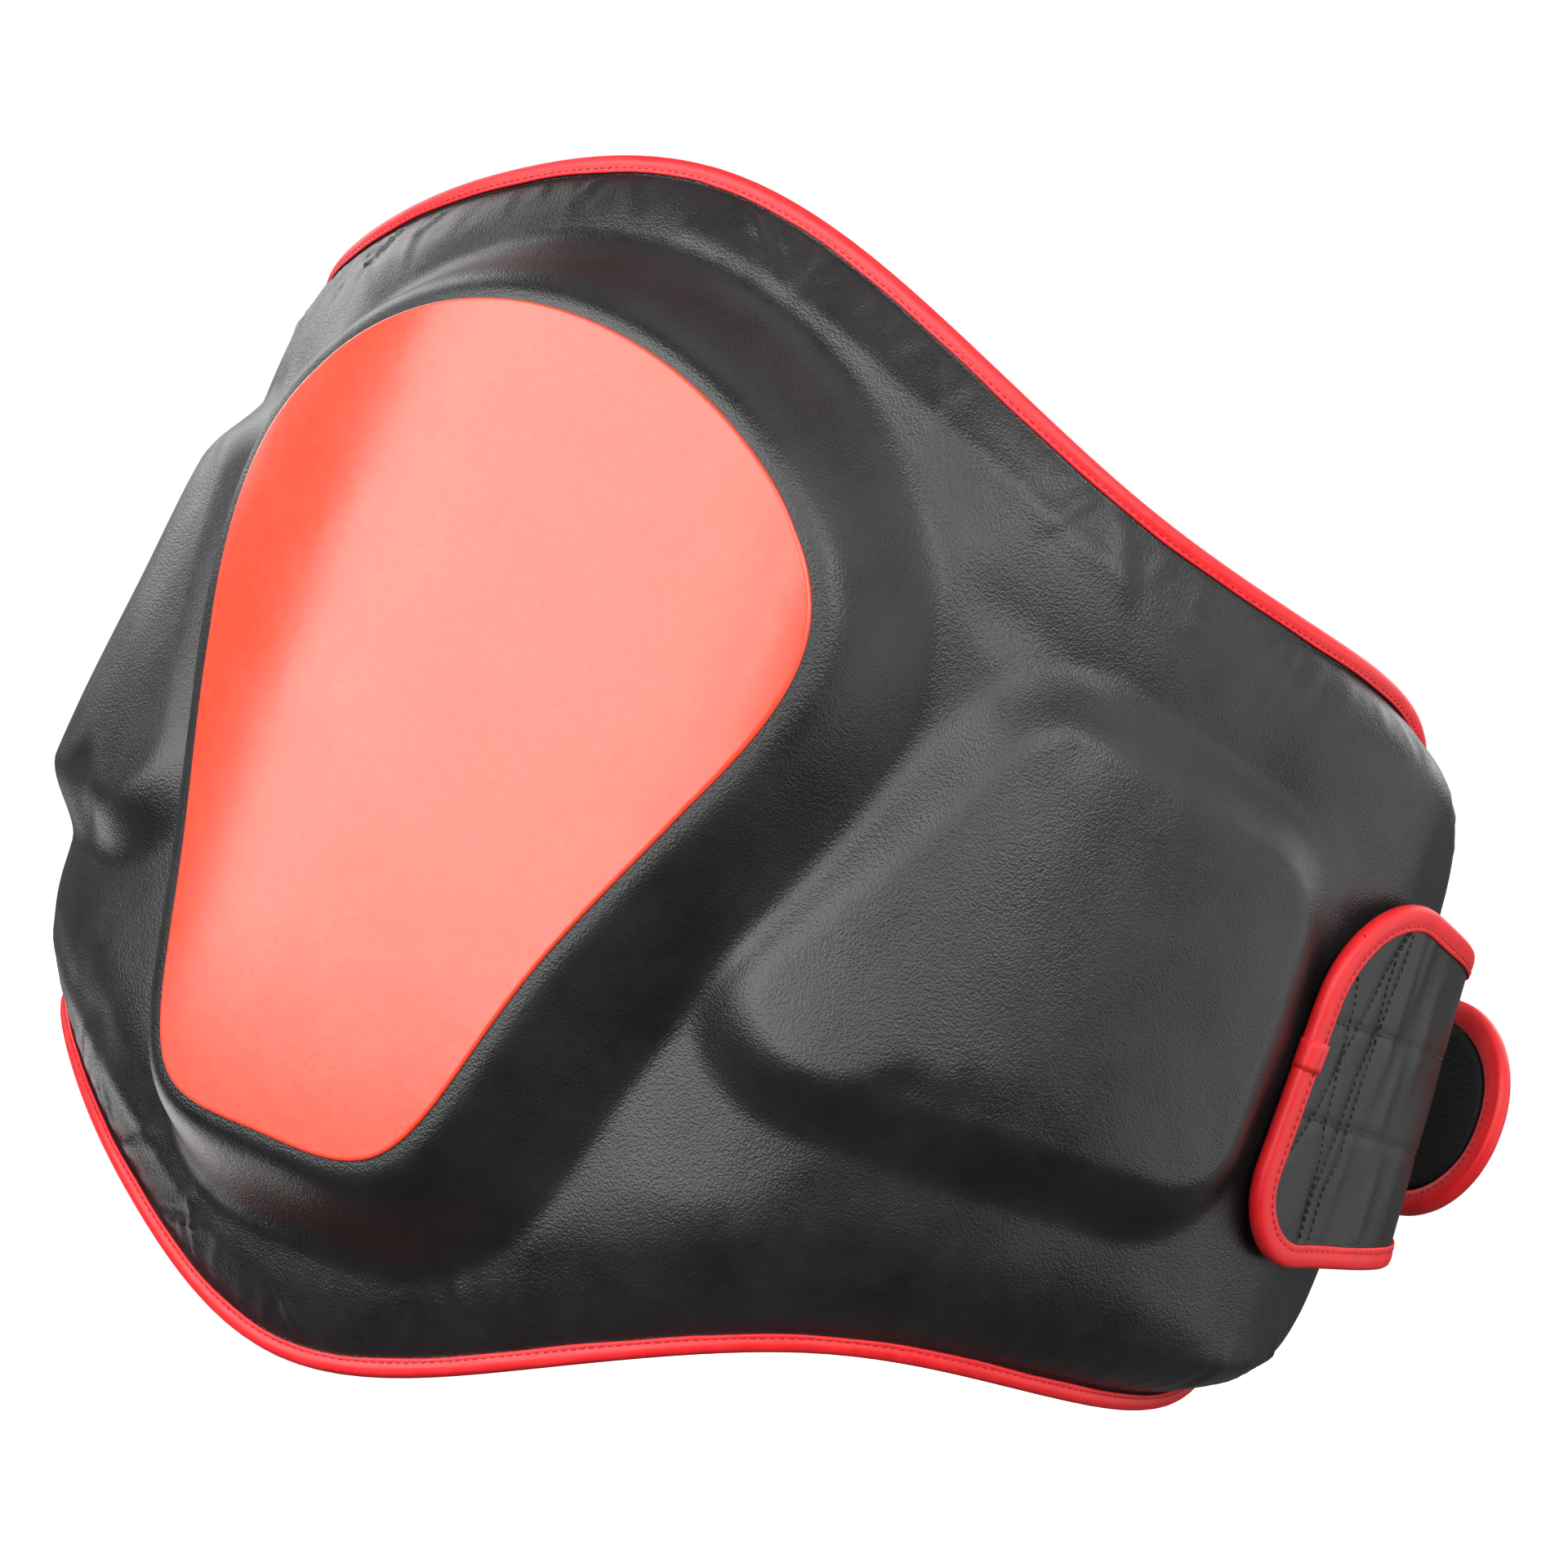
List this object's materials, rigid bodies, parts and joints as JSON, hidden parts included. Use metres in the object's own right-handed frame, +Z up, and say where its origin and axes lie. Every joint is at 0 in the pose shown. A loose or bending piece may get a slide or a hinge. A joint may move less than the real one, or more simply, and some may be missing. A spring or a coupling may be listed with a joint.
{
  "type": "trainer belly pad",
  "caption": "Curved padded belly protector for a boxing coach, with a raised centre dome, raised wing blocks, bound edge, closure flap and elastic back strap.",
  "frame": {"origin": "middle of the lining's inner face, at half the pad's height, where it rests on the wearer's belly", "axes": "+Z up, +Y from the pad into the wearer, pad front towards -Y, +X towards the wing that carries the flap"},
  "size_m": [0.506, 0.4006, 0.415],
  "materials": {
    "cover_leather": "soft grained synthetic leather, satin sheen",
    "panel_leather": "glossy smooth-grained synthetic leather",
    "strap_leather": "fine-grained synthetic leather, satin",
    "lining": "matte woven lining",
    "soft_foam": "soft open-cell foam",
    "dense_foam": "moulded closed-cell foam",
    "binding_tape": "folded red binding tape, satin",
    "webbing": "woven webbing",
    "elastic": "ribbed woven elastic",
    "loop_fabric": "brushed loop pile",
    "hook_tape": "hook tape"
  },
  "bodies": {
    "pad": {"back_liner": "lining", "comfort_foam": "soft_foam", "moulded_foam": "dense_foam", "centre_core": "dense_foam", "right_wing_core": "dense_foam", "left_wing_core": "dense_foam", "front_cover": "cover_leather", "centre_panel": "panel_leather", "edge_binding": "binding_tape", "flap_root_back": "strap_leather", "flap_root_web": "webbing", "flap_root_face": "strap_leather", "flap_root_binding": "binding_tape", "strap_root_outer": "strap_leather", "strap_root_web": "webbing", "strap_root_inner": "strap_leather", "strap_root_binding": "binding_tape"},
    "flap": {"flap_back": "strap_leather", "flap_web": "webbing", "flap_face": "strap_leather", "flap_loop_patch": "loop_fabric", "flap_binding": "binding_tape"},
    "strap_base": {"strap_base_outer": "strap_leather", "strap_base_web": "webbing", "strap_base_inner": "strap_leather", "strap_base_binding": "binding_tape", "strap_elastic": "elastic"},
    "strap_end": {"strap_end_outer": "strap_leather", "strap_end_web": "webbing", "strap_end_inner": "strap_leather", "strap_hook_patch": "hook_tape", "strap_end_binding": "binding_tape"}
  },
  "joints": [
    {"name": "flap_fold", "type": "hinge", "parent": "pad", "child": "flap", "pos_m": [0.24088, 0.23812, 0], "axis": [0, 0, 1], "range_deg": [0, 100]},
    {"name": "strap_seam", "type": "hinge", "parent": "pad", "child": "strap_base", "pos_m": [-0.19607, 0.24796, 0], "axis": [0, 0, 1], "range_deg": [0, 75]},
    {"name": "elastic_stretch", "type": "slide", "parent": "strap_base", "child": "strap_end", "axis": [1, 0, 0], "range_m": [0, 0.036], "stiffness_N_per_m": 500, "deforming": ["strap_elastic"]}
  ]
}
